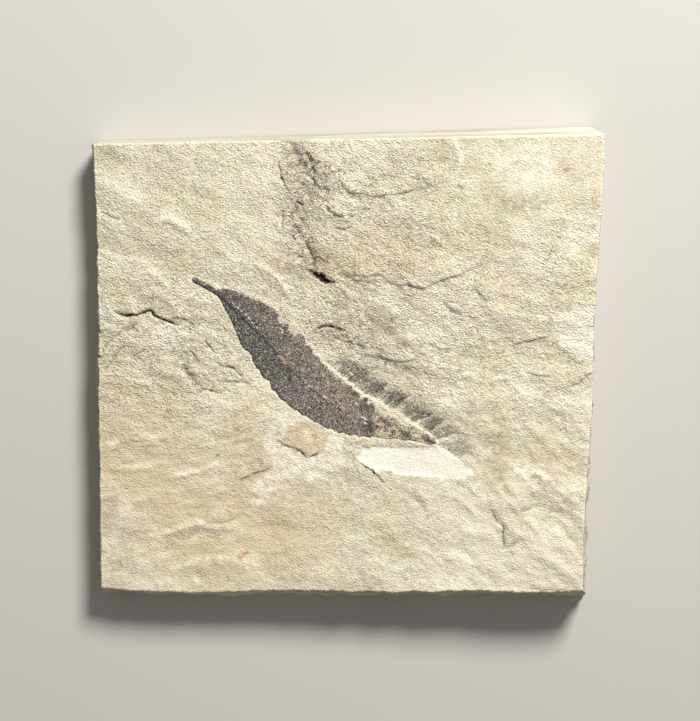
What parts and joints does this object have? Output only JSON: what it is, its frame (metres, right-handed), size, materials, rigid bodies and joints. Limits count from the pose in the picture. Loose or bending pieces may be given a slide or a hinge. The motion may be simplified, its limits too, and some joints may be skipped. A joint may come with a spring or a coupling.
{
  "type": "fossil leaf plate",
  "caption": "Roughly square plate of pale laminated limestone with a dark carbonised leaf and its stalk on the split face; lies flat as a loose display fossil.",
  "frame": {"origin": "under the middle of the plate's box, on the surface that its flat back rests on", "axes": "+Z out of the split face that bears the leaf, +Y towards the sawn edge, +X along the sawn edge towards the thick end"},
  "size_m": [0.125, 0.1204, 0.014],
  "materials": {
    "limestone": "matte",
    "carbon_film": "matte"
  },
  "bodies": {
    "root": {"stone_slab": "limestone", "fossil_leaf": "carbon_film"}
  },
  "joints": []
}
